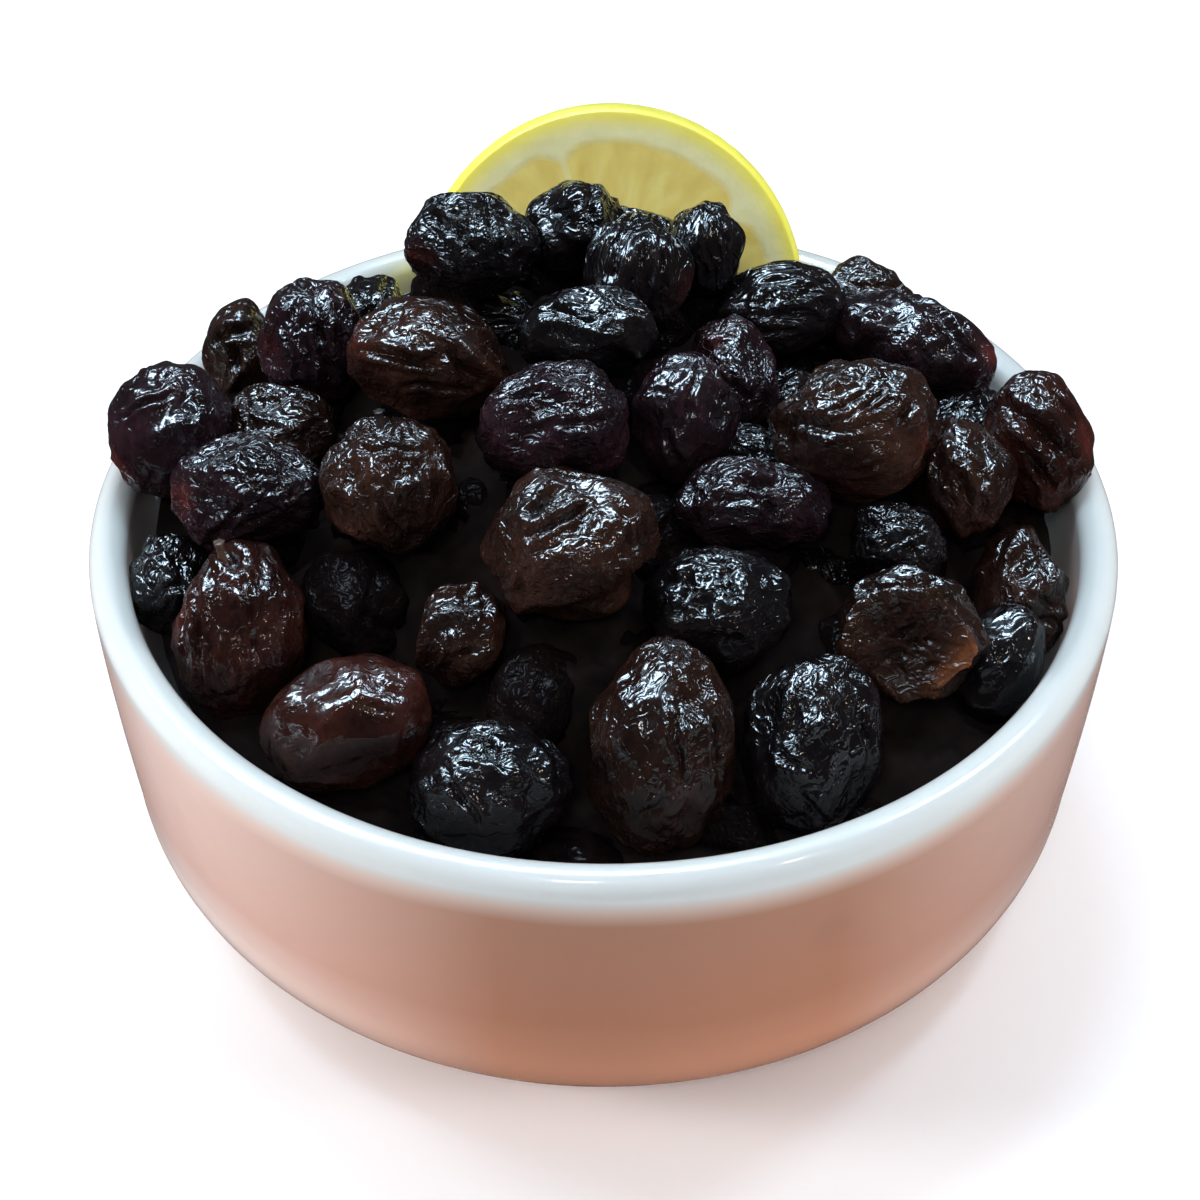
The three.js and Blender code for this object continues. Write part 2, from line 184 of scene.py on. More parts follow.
# How a skin is wrinkled. lumps is how far it is out of round in mm, folds how many deep grooves it
# has, patchy how much of it has stayed smooth, and fine how strong its smallest wrinkles are. A
# layer of ridges is (mm between them, stretch along the olive, depth in mm, bend).
SKINS = {
    "smooth": dict(lumps=0.6, folds=0, patchy=0.7, fine=0.40,
                   layers=[(6.5, 1.3, 0.60, 0.5), (2.8, 1.5, 0.30, 0.5)]),
    "pitted": dict(lumps=1.0, folds=2, patchy=0.5, fine=0.75,
                   layers=[(5.5, 1.3, 0.75, 0.6), (2.4, 1.5, 0.44, 0.6)]),
    "crinkled": dict(lumps=1.2, folds=2, patchy=0.2, fine=1.2,
                     layers=[(6.0, 1.4, 0.90, 0.7), (2.6, 1.8, 0.60, 0.8)]),
    "folded": dict(lumps=1.2, folds=3, patchy=0.4, fine=0.9,
                   layers=[(7.5, 1.6, 1.15, 0.9), (2.8, 2.0, 0.56, 0.8)]),
    "lengthwise": dict(lumps=1.0, folds=1, patchy=0.2, fine=1.15,
                       layers=[(5.5, 2.5, 0.75, 0.5), (2.2, 4.0, 0.60, 0.5)]),
}

# The folds that stand out. Each runs between two places on its olive, given across and up the
# olive as it is seen from the front, from -1 to 1, and is so many mm deep and wide.
FOLDS = {
    ("front", 1): [((-0.25, 0.92), (0.05, 0.80), 1.6, 1.5), ((-0.55, 0.55), (-0.45, -0.70), 0.9, 0.8),
                   ((-0.80, 0.30), (-0.72, -0.45), 0.8, 0.7), ((0.20, 0.60), (0.35, -0.30), 0.6, 0.7)],
    ("front", 4): [((0.10, 0.30), (0.28, -0.25), 0.9, 0.6), ((0.60, 0.45), (0.72, -0.20), 0.8, 0.8),
                   ((-0.40, -0.62), (0.00, -0.50), 0.4, 0.9)],
    ("front", 5): [((-0.55, -0.05), (-0.10, -0.25), 0.9, 0.8), ((0.55, 0.50), (0.75, -0.35), 0.9, 0.9),
                   ((-0.30, -0.40), (0.10, -0.80), 0.7, 0.9)],
    ("middle", 3): [((-0.45, 0.40), (-0.12, 0.74), 1.6, 0.8), ((-0.45, 0.12), (0.18, 0.58), 1.7, 0.8),
                    ((-0.80, 0.62), (-0.48, 0.80), 2.2, 2.2), ((0.55, 0.55), (0.78, -0.10), 0.9, 0.9)],
    ("middle", 8): [((-0.40, 0.12), (0.22, 0.66), 0.6, 0.5), ((-0.16, 0.12), (0.40, 0.60), 0.6, 0.45),
                    ((0.06, 0.20), (0.58, 0.54), 0.6, 0.45), ((0.46, 0.10), (0.66, 0.36), 1.3, 0.9),
                    ((-0.80, 0.10), (-0.20, -0.05), 0.7, 1.2),
                    ((0.00, -0.60), (0.40, -0.40), 0.6, 0.7)],
    ("crown", 0): [((-0.70, 0.25), (-0.10, 0.60), 0.9, 0.8), ((0.10, -0.10), (0.70, 0.05), 0.8, 0.8)],
    ("crown", 3): [((-0.75, 0.10), (0.05, -0.15), 1.4, 1.0), ((0.20, 0.20), (0.62, -0.45), 1.6, 1.1),
                   ((-0.30, -0.55), (0.45, -0.62), 0.9, 0.9)],
    ("crown", 5): [((-0.55, 0.50), (0.05, -0.20), 1.2, 0.9), ((0.30, 0.55), (0.45, -0.50), 1.2, 0.9)],
    ("crown", 7): [((0.30, 0.70), (0.45, -0.30), 1.3, 0.9), ((-0.40, 0.30), (0.10, 0.45), 0.8, 0.8)],
    ("crown", 8): [((-0.35, 0.55), (-0.40, -0.25), 0.6, 0.5), ((0.05, 0.60), (0.10, -0.10), 0.5, 0.5),
                   ((0.40, 0.50), (0.50, -0.30), 0.6, 0.5)],
    ("crown", 9): [((-0.10, 0.75), (0.05, -0.40), 0.8, 0.7), ((0.45, 0.55), (0.60, -0.30), 0.6, 0.6)],
    ("left", 2): [((0.15, 0.75), (0.40, -0.60), 1.3, 1.0), ((-0.50, 0.20), (-0.20, -0.50), 0.8, 0.8)],
    ("left", 3): [((-0.60, 0.25), (0.30, 0.45), 1.5, 1.0), ((-0.10, 0.20), (0.15, -0.60), 1.2, 0.9)],
    ("right", 0): [((-0.70, 0.45), (0.55, -0.25), 2.0, 1.6), ((0.10, 0.70), (0.60, 0.30), 1.0, 0.9),
                   ((-0.30, -0.30), (0.20, -0.70), 1.0, 0.9)],
    ("right", 1): [((0.25, 0.50), (0.60, -0.30), 1.2, 0.9), ((0.60, 0.35), (0.80, -0.20), 0.9, 0.8)],
    ("front", 6): [((-0.70, 0.62), (0.30, 0.72), 1.2, 0.9)],
}

# Where an olive's skin shows red, across and up as seen from the front, and how strongly it shows:
# partly a redder patch of its own skin, partly painted light, the red glow of light through its thin
# left and right edges.
BLUSHES_AND_EDGE_GLOW = {
    ("left", 0): (-0.80, -0.50, 1.0), ("middle", 0): (-0.88, -0.10, 0.8),
    ("front", 1): (-0.88, 0.10, 0.6), ("left", 2): (-0.80, -0.10, 0.4),
    ("right", 0): (0.88, -0.10, 0.6), ("right", 1): (0.88, -0.15, 0.7),
    ("middle", 8): (0.85, -0.15, 0.5), ("crown", 2): (-0.30, 0.70, 0.5),
    ("crown", 3): (-0.85, 0.20, 0.4), ("crown", 5): (-0.78, -0.35, 0.4),
    ("crown", 8): (0.88, -0.20, 0.3),
}
BLUSH_AND_EDGE_GLOW = dict(color=(0.110, 0.0180, 0.0125), reach=0.24)


# ------------------------------------------------------------
# Numbers: repeatable draws and smooth noise

def seeded_random(seed):
    """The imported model's own source of numbers from 0 to 1, so that both have the same dents."""
    state = (seed * 2654435761) % 4294967296
    while True:
        state = (state * 1664525 + 1013904223) % 4294967296
        yield state / 4294967296


TABLE_RANDOM = np.random.default_rng(7)
SHUFFLE = TABLE_RANDOM.permutation(256)
GRADIENTS = TABLE_RANDOM.normal(size=(256, 3))
GRADIENTS /= np.linalg.norm(GRADIENTS, axis=1, keepdims=True)


def noise(points):
    """Gradient noise, about -0.7 to 0.7, with features one unit across."""
    cell = np.floor(points).astype(int)
    part = points - cell
    fade = part ** 3 * (part * (part * 6 - 15) + 10)
    total = np.zeros(len(points))
    for corner in np.ndindex(2, 2, 2):
        at = (cell + corner) % 256
        key = SHUFFLE[(SHUFFLE[(SHUFFLE[at[:, 0]] + at[:, 1]) % 256] + at[:, 2]) % 256]
        slope = np.einsum("ij,ij->i", GRADIENTS[key], part - corner)
        weight = np.prod(np.where(corner, fade, 1 - fade), axis=1)
        total += weight * slope
    return total


def noise_vectors(points, offset):
    return np.stack([noise(points + offset + shift) for shift in (0.0, 31.7, 71.3)], axis=1)


def smoothstep(low, high, value):
    t = np.clip((value - low) / (high - low), 0, 1)
    return t * t * (3 - 2 * t)


# ------------------------------------------------------------
# Mesh helpers

def make_piece(name, vertices, faces, material, colors=None, values=None):
    """A smooth mesh object from arrays in mm, with a colour and named values on its points."""
    mesh = bpy.data.meshes.new(name)
    mesh.vertices.add(len(vertices))
    mesh.vertices.foreach_set("co", (np.asarray(vertices, dtype=np.float32) * MM).ravel())
    size = faces.shape[1]
    mesh.loops.add(faces.size)
    mesh.loops.foreach_set("vertex_index", faces.astype(np.int32).ravel())
    mesh.polygons.add(len(faces))
    mesh.polygons.foreach_set("loop_start", np.arange(0, faces.size, size, dtype=np.int32))
    mesh.update(calc_edges=True)
    mesh.polygons.foreach_set("use_smooth", np.ones(len(faces), dtype=bool))
    if colors is not None:
        layer = mesh.color_attributes.new("skin", "FLOAT_COLOR", "POINT")
        rgba = np.concatenate([colors, np.ones((len(colors), 1))], axis=1)
        layer.data.foreach_set("color", rgba.astype(np.float32).ravel())
    for key, value in (values or {}).items():
        value = np.asarray(value, dtype=np.float32)
        kind, field = ("FLOAT", "value") if value.ndim == 1 else ("FLOAT_VECTOR", "vector")
        mesh.attributes.new(key, kind, "POINT").data.foreach_set(field, value.ravel())
    mesh.materials.append(material)
    mesh.validate()
    piece = bpy.data.objects.new(name, mesh)
    bpy.context.collection.objects.link(piece)
    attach(piece, "root")
    return piece


def join_arrays(parts):
    """Joins (vertices, faces, colors, values) parts into one set of arrays."""
    vertices, faces, colors, start = [], [], [], 0
    values = {key: [] for key in parts[0][3]}
    for points, corners, color, extra in parts:
        vertices.append(points)
        faces.append(corners + start)
        colors.append(color)
        for key in values:
            values[key].append(extra[key])
        start += len(points)
    joined = {key: np.concatenate(value) for key, value in values.items()}
    return np.concatenate(vertices), np.concatenate(faces), np.concatenate(colors), joined


ICOSAHEDRON_FACES = 20
SPHERES = {}


def sphere(frequency):
    """Points and triangles of a ball whose icosahedron's edges are split into that many."""
    if frequency in SPHERES:
        return SPHERES[frequency]
    golden = (1 + 5 ** 0.5) / 2
    corners = []
    for a, b in ((1, golden), (-1, golden), (1, -golden), (-1, -golden)):
        corners += [(0, a, b), (a, b, 0), (b, 0, a)]
    corners = np.array(corners, dtype=float)
    apart = np.linalg.norm(corners[:, None] - corners[None], axis=2)
    near = apart < 2.1
    triples = [(i, j, k) for i in range(12) for j in range(i + 1, 12) for k in range(j + 1, 12)
               if near[i, j] and near[j, k] and near[i, k]]
    points, faces = [], []
    for i, j, k in triples:
        a, b, c = corners[[i, j, k]]
        if np.dot(np.cross(b - a, c - a), a) < 0:
            b, c = c, b
        first = {}
        for row in range(frequency + 1):
            for step in range(frequency + 1 - row):
                first[row, step] = len(points)
                points.append(a * (frequency - row - step) + b * row + c * step)
        for row in range(frequency):
            for step in range(frequency - row):
                faces.append((first[row, step], first[row + 1, step], first[row, step + 1]))
                if step + row < frequency - 1:
                    faces.append((first[row + 1, step], first[row + 1, step + 1],
                                  first[row, step + 1]))
    points = np.array(points)
    points /= np.linalg.norm(points, axis=1, keepdims=True)
    _, kept, same = np.unique(np.round(points, 5), axis=0, return_index=True, return_inverse=True)
    SPHERES[frequency] = (points[kept], same.ravel()[np.array(faces)])
    return SPHERES[frequency]


def lathe_faces(rows, columns):
    """Quads of a grid of rows by columns whose columns close on themselves."""
    row, column = np.meshgrid(np.arange(rows - 1), np.arange(columns), indexing="ij")
    a = row * columns + column
    b = row * columns + (column + 1) % columns
    return np.stack([a, b, b + columns, a + columns], axis=-1).reshape(-1, 4)


# ------------------------------------------------------------
# Node helpers

class Nodes:
    """A small hand for building one material's node tree."""

    def __init__(self, name):
        self.material = bpy.data.materials.new(name)
        self.material.use_nodes = True
        self.tree = self.material.node_tree
        self.shader = self.tree.nodes["Principled BSDF"]

    def add(self, kind, **settings):
        node = self.tree.nodes.new(kind)
        for key, value in settings.items():
            if key in node.inputs:
                node.inputs[key].default_value = value
            else:
                setattr(node, key, value)
        return node

    def link(self, output, target):
        self.tree.links.new(output, target)

    def feed(self, target, output):
        self.link(output, self.shader.inputs[target])

    def set(self, **settings):
        for key, value in settings.items():
            self.shader.inputs[key.replace("_", " ")].default_value = value

    def attribute(self, name, output="Fac"):
        return self.add("ShaderNodeAttribute", attribute_name=name).outputs[output]

    def noise(self, scale, detail=3.0, roughness=0.5, coordinates=None):
        node = self.add("ShaderNodeTexNoise", Scale=scale, Detail=detail, Roughness=roughness)
        if coordinates is None:
            coordinates = self.add("ShaderNodeTexCoord").outputs["Object"]
        self.link(coordinates, node.inputs["Vector"])
        return node.outputs["Fac"]

    def ramp(self, source, stops):
        node = self.add("ShaderNodeValToRGB")
        elements = node.color_ramp.elements
        while len(elements) < len(stops):
            elements.new(0.5)
        for element, (position, color) in zip(elements, stops):
            element.position = position
            element.color = (*color, 1.0)
        self.link(source, node.inputs["Fac"])
        return node.outputs["Color"]

    def math(self, operation, first, second=0.5):
        node = self.add("ShaderNodeMath", operation=operation)
        for slot, value in zip(node.inputs, (first, second)):
            if isinstance(value, (int, float)):
                slot.default_value = value
            else:
                self.link(value, slot)
        return node.outputs[0]

    def mix(self, factor, first, second, blend="MIX"):
        node = self.add("ShaderNodeMix", data_type="RGBA", blend_type=blend)
        for slot, value in ((0, factor), (6, first), (7, second)):
            if isinstance(value, (int, float)):
                node.inputs[slot].default_value = value
            elif isinstance(value, tuple):
                node.inputs[slot].default_value = (*value, 1.0)
            else:
                self.link(value, node.inputs[slot])
        return node.outputs[2]

    def bump(self, height, strength, distance, normal=None):
        node = self.add("ShaderNodeBump", Strength=strength, Distance=distance)
        self.link(height, node.inputs["Height"])
        if normal is not None:
            self.link(normal, node.inputs["Normal"])
        return node.outputs["Normal"]


# ------------------------------------------------------------
# Camera: where the picture was taken from. Its distance is in radii of the bowl, its angles are in
# degrees, and its lens is in mm.

CAMERA = dict(elevation=39.9, distance=5.1, roll=0.31, lens=78.2, shift=(-0.0031, -0.0818))
ELEVATION = math.radians(CAMERA["elevation"])


def look():
    data = bpy.data.cameras.new("camera")
    data.sensor_width = 36.0
    data.lens = CAMERA["lens"]
    data.shift_x, data.shift_y = CAMERA["shift"]
    camera = bpy.data.objects.new("camera", data)
    bpy.context.collection.objects.link(camera)
    distance = CAMERA["distance"] * BOWL["radius"] * MM
    target = Vector((0, 0, BOWL["height"] * MM))
    back = Vector((0, -math.cos(ELEVATION), math.sin(ELEVATION)))
    roll = Matrix.Rotation(math.radians(CAMERA["roll"]), 4, "Z")
    turn = back.to_track_quat("Z", "Y").to_matrix().to_4x4()
    camera.matrix_world = Matrix.Translation(target + back * distance) @ turn @ roll
    bpy.context.scene.camera = camera


# ------------------------------------------------------------
# Olives

# The colour of a kind's thick, dark skin and of its thinner places.
KINDS = {
    "black": dict(deep=(0.0020, 0.0016, 0.0022), thin=(0.0100, 0.0065, 0.0070)),
    "brown": dict(deep=(0.0050, 0.0023, 0.0018), thin=(0.0350, 0.0140, 0.0090)),
    "purple": dict(deep=(0.0040, 0.0019, 0.0030), thin=(0.0235, 0.0095, 0.0130)),
    "red": dict(deep=(0.0090, 0.0031, 0.0025), thin=(0.0560, 0.0152, 0.0104)),
    # The deep kind, for olives low in the heap, is a painted-shade copy of the skin: darker than the
    # brown, purple and red kinds, and made dull in skin_material.
    "deep": dict(deep=(0.0040, 0.0028, 0.0030), thin=(0.0100, 0.0060, 0.0055)),
    "torn": dict(deep=(0.0050, 0.0023, 0.0018), thin=(0.0240, 0.0100, 0.0068)),
}


def turn_matrix(turn, rise):
    """Columns are an olive's long axis, its side and its top, in the dish's frame."""
    t, r = math.radians(turn), math.radians(rise)
    along = np.array([math.cos(t) * math.cos(r), math.sin(t) * math.cos(r), math.sin(r)])
    side = np.array([-math.sin(t), math.cos(t), 0.0])
    return np.stack([along, side, np.cross(along, side)], axis=1)


def dented_radius(ways, seed):
    """How far out the points of a ball lie once its broad dents are pressed in."""
    random = seeded_random(seed + 1)
    radius = np.ones(len(ways))
    for _ in range(DENTS["count"]):
        height = 2 * next(random) - 1
        turn = 2 * math.pi * next(random)
        depth = DENTS["depth"] * (next(random) - 0.25)
        across = math.sqrt(1 - height * height)
        way = np.array([across * math.cos(turn), across * math.sin(turn), height])
        apart = np.arccos(np.clip(ways @ way, -1, 1)) / DENTS["spread"]
        radius -= depth * np.exp(-apart * apart)
    return radius


def ridges(points, spacing, stretch, bend, offset, blunt=0.03, width=0.30):
    """1 on a crooked net of crests that lie about a spacing apart, 0 on the planes between."""
    place = points / np.array([stretch, 1, 1]) / spacing
    place = place + bend * noise_vectors(place * 0.6, offset)
    from_crest = np.hypot(noise(place + offset), blunt) / width
    return np.clip(1.1 - from_crest, 0, 1)


def crowded(ways, toward, more=0.38):
    """Draws the points of a ball towards the side that shows, for a finer mesh there."""
    moved = ways + more * toward
    return moved / np.linalg.norm(moved, axis=1, keepdims=True)


# Across, up and towards the eye of someone who looks at the dish from the front.
SEEN_AXES = np.array([[1, 0, 0], [0, math.sin(ELEVATION), math.cos(ELEVATION)],
                      [0, -math.cos(ELEVATION), math.sin(ELEVATION)]])


def seen_place(across, up, half, frame_axes):
    """The place on an olive at that share of its width and height as seen from the front."""
    seen = SEEN_AXES @ frame_axes
    reach = np.linalg.norm(seen * half, axis=1)
    base = across * reach[0] * seen[0] + up * reach[1] * seen[1]
    a = ((seen[2] / half) ** 2).sum()
    b = (base * seen[2] / half ** 2).sum()
    c = ((base / half) ** 2).sum() - 1
    return base + seen[2] * (math.sqrt(max(b * b - a * c, 0)) - b) / a


def fold_height(points, half, frame_axes, start, end, depth, width, steps=6):
    """A groove between two places, with its skin heaped up along both sides."""
    places = [seen_place(*(np.array(start) + (np.array(end) - start) * t), half, frame_axes)
              for t in np.linspace(0, 1, steps + 1)]
    apart = np.full(len(points), 1e9)
    along = np.zeros(len(points))
    for index, (a, b) in enumerate(zip(places, places[1:])):
        step = b - a
        share = np.clip((points - a) @ step / (step @ step + 1e-9), 0, 1)
        distance = np.linalg.norm(points - a - share[:, None] * step, axis=1)
        along = np.where(distance < apart, (index + share) / steps, along)
        apart = np.minimum(apart, distance)
    taper = np.sqrt(np.clip(np.sin(math.pi * np.clip(along, 0.04, 0.96)), 0, 1))
    groove = np.exp(-(apart / (0.55 * width)) ** 2)
    heap = np.exp(-((apart - 1.25 * width) / (0.60 * width)) ** 2)
    return depth * taper * (0.42 * heap - groove)


def random_folds(random, count):
    """Folds for an olive that has none of its own in FOLDS."""
    folds = []
    for _ in range(count):
        middle = random.uniform(-0.6, 0.6, 2)
        turn = random.uniform(0, math.pi)
        reach = random.uniform(0.25, 0.55) * np.array([math.cos(turn), math.sin(turn)])
        folds.append((tuple(middle - reach), tuple(middle + reach),
                      random.uniform(0.5, 1.0), random.uniform(0.6, 1.0)))
    return folds


def olive_arrays(key, row, seed, edge):
    """Points, triangles, colours and values of one olive whose mesh has edges of that length."""
    x, y, z, length, width, turn, rise, kind, skin = row
    random = np.random.default_rng(1000 + seed)
    half = np.array([length / 2, width / 2, width / 2 * FLATNESS])
    frame_axes = turn_matrix(turn, rise)
    middle = np.array([x, y, z])

    area = 4 * math.pi * (length * width * width / 8) ** (2 / 3)
    triangle = edge * edge * 0.433
    ways, faces = sphere(max(8, round(math.sqrt(area / ICOSAHEDRON_FACES / triangle))))
    shown = np.array([x / 90, y / 90 - 0.45, 0.75])
    ways = crowded(ways, shown @ frame_axes)
    round_points = ways * half
    points = round_points * dented_radius(ways, seed)[:, None]
    normal = ways / half
    normal /= np.linalg.norm(normal, axis=1, keepdims=True)

    style = SKINS[skin]
    offset = random.uniform(0, 90)
    patches = smoothstep(-0.30, 0.20, noise(ways * 1.3 + offset + 5))
    strength = 1 - style["patchy"] * (1 - patches)
    upward = normal @ frame_axes[2] + 0.25 * noise(ways * 2.0 + offset + 60)
    wet = 0.20 + 0.80 * smoothstep(0.10, 0.70, upward)
    height = style["lumps"] * noise(points / 6.5 + offset)
    crest = np.zeros(len(points))
    for spacing, stretch, depth, bend in style["layers"]:
        ridge = ridges(points, spacing, stretch, bend, offset + spacing)
        height += depth * (ridge - 0.55) * (strength if spacing < 4 else 1)
        crest += 0.5 * ridge
    bent = round_points + 0.9 * noise_vectors(round_points / 3.0, offset + 20)
    for fold in FOLDS.get(key) or random_folds(random, style["folds"]):
        height += fold_height(bent, half, frame_axes, *fold)

    tone = KINDS[kind]
    blotch = smoothstep(-0.35, 0.45, noise(points / 6.0 + offset + 50))
    share = (0.20 + 0.50 * blotch) * random.uniform(0.6, 1.3) * (0.6 + 0.4 * crest)
    share = np.clip(share, 0, 1)[:, None]
    colors = np.array(tone["deep"]) * (1 - share) + np.array(tone["thin"]) * share
    # A red patch near one edge, stronger on the crests: partly the skin's own red, partly painted
    # light glowing through the thin edge.
    if key in BLUSHES_AND_EDGE_GLOW:
        across, up, glow = BLUSHES_AND_EDGE_GLOW[key]
        spot = seen_place(across, up, half, frame_axes) / half
        apart = np.arccos(np.clip(ways @ spot / np.linalg.norm(spot), -1, 1)) / BLUSH_AND_EDGE_GLOW["reach"]
        red = (glow * np.exp(-apart ** 2) * (0.35 + 0.65 * blotch) * (0.5 + 0.5 * crest))[:, None]
        colors = colors + (np.array(BLUSH_AND_EDGE_GLOW["color"]) - colors) * np.clip(red, 0, 1)
    if kind == "torn":
        height, colors, dry = tear(points, ways, half, frame_axes, offset, height, colors)
        wet = wet * (1 - dry)
    points = points + normal * height[:, None]
    grain = points / np.array([1.25 if skin != "lengthwise" else 3.0, 1, 1]) + offset
    placed = pressed(points @ frame_axes.T + middle, middle)
    fine = strength * style["fine"]
    return placed, faces, colors, {"fine": fine, "grain": grain, "wet": wet}


def pressed(points, middle):
    """Flattens an olive where it would go into the bowl's wall, its lip or the slice of lemon."""
    radius, height = np.hypot(points[:, 0], points[:, 1]), points[:, 2]
    lip_radius = BOWL["radius"] - BOWL["lip"]
    apart = np.hypot(radius - lip_radius, height - LIP_HEIGHT)
    push = np.maximum((BOWL["lip"] + TOUCH) / np.maximum(apart, 1e-6), 1)
    over = height > LIP_HEIGHT
    inner = np.minimum(radius, wall_radius(height) - 2 * BOWL["lip"] - TOUCH)
    moved = np.where(over, lip_radius + (radius - lip_radius) * push, inner)
    turned = points[:, :2] * (moved / np.maximum(radius, 1e-6))[:, None]
    height = np.where(over, LIP_HEIGHT + (height - LIP_HEIGHT) * push, height)

    across, into, up = slice_frame(np.column_stack([turned, height])).T
    in_front = slice_frame(middle[None])[0, 1] < LEMON["thickness"] / 2
    face = -TOUCH if in_front else LEMON["thickness"] + TOUCH
    past_face = into - face if in_front else face - into
    rim = np.hypot(across, up)
    past_rim = LEMON["radius"] + TOUCH - rim
    inside = (past_face > 0) & (past_rim > 0)
    by_face = inside & (past_face <= past_rim)
    outward = np.where(inside & ~by_face, (LEMON["radius"] + TOUCH) / np.maximum(rim, 1e-6), 1)
    flattened = [across * outward, np.where(by_face, face, into), up * outward]
    return slice_place(np.stack(flattened, axis=1))


def tear(points, ways, half, frame_axes, offset, height, colors):
    """Opens the side towards the front: a dull brown hollow inside a ragged, paler, oiled edge.
    Gives back the heights, the colours and how dry each place is."""
    middle = seen_place(*TEAR["middle"], half, frame_axes) / half
    middle /= np.linalg.norm(middle)
    ragged = 1 + 0.22 * noise(ways * 2.3 + offset) + 0.10 * noise(ways * 6.0 + offset)
    apart = np.arccos(np.clip(ways @ middle, -1, 1)) / (TEAR["reach"] * ragged)
    inside = 1 - smoothstep(0.86, 1.02, apart)
    edge = np.exp(-((apart - 1.02) / 0.14) ** 2)
    creases = ridges(points, 2.6, 1.6, 0.8, offset + 9)
    turned = np.minimum(apart * TEAR["reach"], 1.2)
    flat = half.mean() * (1 - math.cos(TEAR["reach"]) / np.cos(turned))
    sunk = flat + TEAR["lip"] + (1 - np.minimum(apart, 1) ** 2)
    height = height * (1 - inside) + 0.7 * edge - inside * (sunk - 0.6 * creases)
    low_right = smoothstep(0.15, 0.70, ways @ (np.array([0.85, 0.0, -0.53]) @ frame_axes))
    flesh = np.array(TEAR["flesh"]) * (0.55 + 0.75 * creases)[:, None]
    colors = colors + (flesh - colors) * inside[:, None]
    pale = (edge * (0.04 + 0.96 * low_right))[:, None]
    dry = 0.85 * (1 - smoothstep(0.80, 0.96, apart))
    return height, colors + (np.array(TEAR["edge"]) - colors) * pale, dry


def stalk_arrays(row, place):
    """A short, ribbed twig that stands on an olive."""
    x, y, z, long, wide, turn, rise, *_ = row
    frame_axes = turn_matrix(turn, rise)
    half = np.array([long / 2, wide / 2, wide / 2 * FLATNESS])
    across, up, share_left, _ = place
    foot = frame_axes @ seen_place(across, up, half, frame_axes)
    axis = foot / np.linalg.norm(foot) + np.array([-0.1, 0.0, 0.9])
    axis /= np.linalg.norm(axis)
    side = np.cross(axis, [1.0, 0, 0])
    side /= np.linalg.norm(side)
    front = np.cross(side, axis)

    sides, rows = 16, 14
    length = STALK["length"] * share_left
    share = np.linspace(0, 1, rows)
    along = -STALK["sunk"] + share * (STALK["sunk"] + length)
    radius = STALK["radius"] * (0.8 + 0.8 * np.exp(-share * 5) + 0.4 * smoothstep(0.8, 1.0, share))
    angle = np.arange(sides) * 2 * math.pi / sides
    spread = radius[:, None] * (1 + 0.16 * np.cos(5 * angle))
    lean = STALK["lean"] * share[:, None] ** 2
    local = np.stack([along[:, None] + 0 * spread, spread * np.cos(angle) + lean,
                      spread * np.sin(angle)], axis=-1).reshape(-1, 3)
    tip = np.array([[length - 0.15, STALK["lean"], 0]])
    points = np.concatenate([local, tip]) @ np.stack([axis, side, front])
    quads = lathe_faces(rows, sides)
    last = (rows - 1) * sides
    cap = np.array([(last + i, last + (i + 1) % sides, rows * sides) for i in range(sides)])
    faces = np.concatenate([quads[:, [0, 1, 2]], quads[:, [0, 2, 3]], cap])
    return points + foot + np.array([x, y, z]), faces


def stalk_material(name, pale):
    nodes = Nodes(name)
    wood = nodes.ramp(nodes.noise(900.0, 4.0, 0.6),
                      [(0.3, (0.035 * pale, 0.018 * pale, 0.011 * pale)),
                       (0.7, (0.130 * pale, 0.070 * pale, 0.042 * pale))])
    nodes.feed("Base Color", wood)
    nodes.feed("Normal", nodes.bump(nodes.noise(1600.0, 3.0), 0.4, 0.0002))
    nodes.set(Roughness=0.5, Coat_Weight=0.3, Coat_Roughness=0.15)
    return nodes.material


def stalks():
    for number, ((group, index), place) in enumerate(STALKS.items(), 1):
        points, faces = stalk_arrays(OLIVES[group][index], place)
        name = f"stalk_{number}"
        piece = make_piece(name, points, faces, stalk_material(name, place[3]))
        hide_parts("olives")


def skin_material(kind):
    nodes = Nodes("skin_" + kind)
    grain = nodes.attribute("grain", "Vector")
    fine = nodes.attribute("fine")
    skin = nodes.attribute("skin", "Color")
    specks = nodes.ramp(nodes.noise(1.2, 4.0, 0.6, grain),
                        [(0.35, (0.7, 0.7, 0.7)), (0.7, (1.35, 1.3, 1.25))])
    nodes.feed("Base Color", nodes.mix(1.0, skin, specks, "MULTIPLY"))
    oil = nodes.ramp(nodes.noise(0.35, 3.0, 0.5, grain), [(0.35, (0.18,) * 3), (0.7, (0.36,) * 3)])
    nodes.feed("Roughness", oil)

    wrinkles = nodes.add("ShaderNodeTexNoise", noise_type="RIDGED_MULTIFRACTAL", normalize=False,
                         Scale=0.72, Detail=1.5, Roughness=0.5, Lacunarity=2.1, Distortion=0.9,
                         Gain=1.5, Offset=0.9)
    nodes.link(grain, wrinkles.inputs["Vector"])
    height = nodes.math("MULTIPLY", wrinkles.outputs["Fac"], fine)
    coarse = nodes.bump(height, 1.0, 0.00019)
    skin_bump = nodes.bump(nodes.noise(2.6, 2.0, 0.6, grain), 1.0, 0.000022, coarse)
    nodes.feed("Normal", skin_bump)
    nodes.feed("Coat Normal", skin_bump)
    # Painted shade: the deep kind gets no specular and almost no coat, so olives low in the heap stay
    # dark like the shade they lie in.
    if kind == "deep":
        nodes.set(Specular_IOR_Level=0.0, Coat_Weight=0.05, Coat_Roughness=0.035, Coat_IOR=1.5)
    else:
        nodes.set(Specular_IOR_Level=0.12, Coat_Roughness=0.035, Coat_IOR=1.5)
        nodes.feed("Coat Weight", nodes.attribute("wet"))
    return nodes.material


